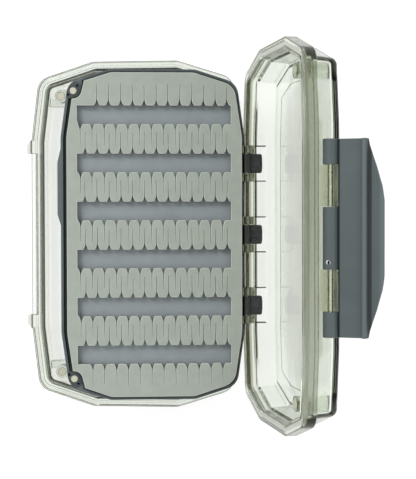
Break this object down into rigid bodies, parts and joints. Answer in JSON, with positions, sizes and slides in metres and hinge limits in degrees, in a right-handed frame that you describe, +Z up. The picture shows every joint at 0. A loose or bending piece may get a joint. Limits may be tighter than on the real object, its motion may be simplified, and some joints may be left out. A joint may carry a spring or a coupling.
{
  "type": "fly box",
  "caption": "Clear waterproof fly box with a hinged lid, a swinging double-sided foam leaf and a snap latch, shown open.",
  "frame": {"origin": "centre of the flat underside of the base", "axes": "+Z up, +X to the hinge side where the lid stands open, +Y along the hinge"},
  "size_m": [0.1517, 0.152, 0.1114],
  "materials": {
    "clear_case": "clear polycarbonate, slightly green",
    "smoke_lid": "clear polycarbonate, smoke tint",
    "gasket": "olive-brown silicone",
    "steel": "polished stainless",
    "black_plastic": "satin black acetal",
    "grey_plastic": "satin dark grey",
    "foam_sheet": "closed-cell foam sheet",
    "foam": "closed-cell finger foam",
    "magnet": "dull plated disc",
    "latch_plastic": "satin dark grey"
  },
  "bodies": {
    "base": {"base_shell": "clear_case", "base_keepers": "magnet", "hinge_pin_upper": "steel", "hinge_pin_lower": "steel"},
    "lid": {"lid_shell": "smoke_lid", "lid_gasket": "gasket", "lid_keepers": "magnet", "stop_plate_upper": "black_plastic", "stop_plate_middle": "black_plastic", "stop_plate_lower": "black_plastic", "leaf_pin_upper": "steel", "leaf_pin_middle": "steel", "leaf_pin_lower": "steel", "latch_pin": "steel"},
    "leaf": {"leaf_frame": "grey_plastic", "leaf_clip_upper": "black_plastic", "leaf_clip_middle": "black_plastic", "leaf_clip_lower": "black_plastic", "foam_backing_front": "foam_sheet", "foam_backing_rear": "foam_sheet", "foam_front": "foam", "foam_rear": "foam", "leaf_magnet_upper": "magnet", "leaf_magnet_lower": "magnet"},
    "latch": {"latch": "latch_plastic"}
  },
  "joints": [
    {"name": "lid_hinge", "type": "hinge", "parent": "base", "child": "lid", "pos_m": [0.04775, 0, 0.0188], "axis": [0, 1, 0], "range_deg": [-107.6, 0]},
    {"name": "leaf_hinge", "type": "hinge", "parent": "lid", "child": "leaf", "pos_m": [0.04936, 0, 0.02652], "axis": [0, 1, 0], "range_deg": [0, 99.2]},
    {"name": "latch_hinge", "type": "hinge", "parent": "lid", "child": "latch", "pos_m": [0.08436, 0, 0.10643], "axis": [0, 1, 0], "range_deg": [-150, 0]}
  ],
  "couplings": [
    {"joint": "leaf_hinge", "follows": "lid_hinge", "ratio": -0.92193}
  ]
}
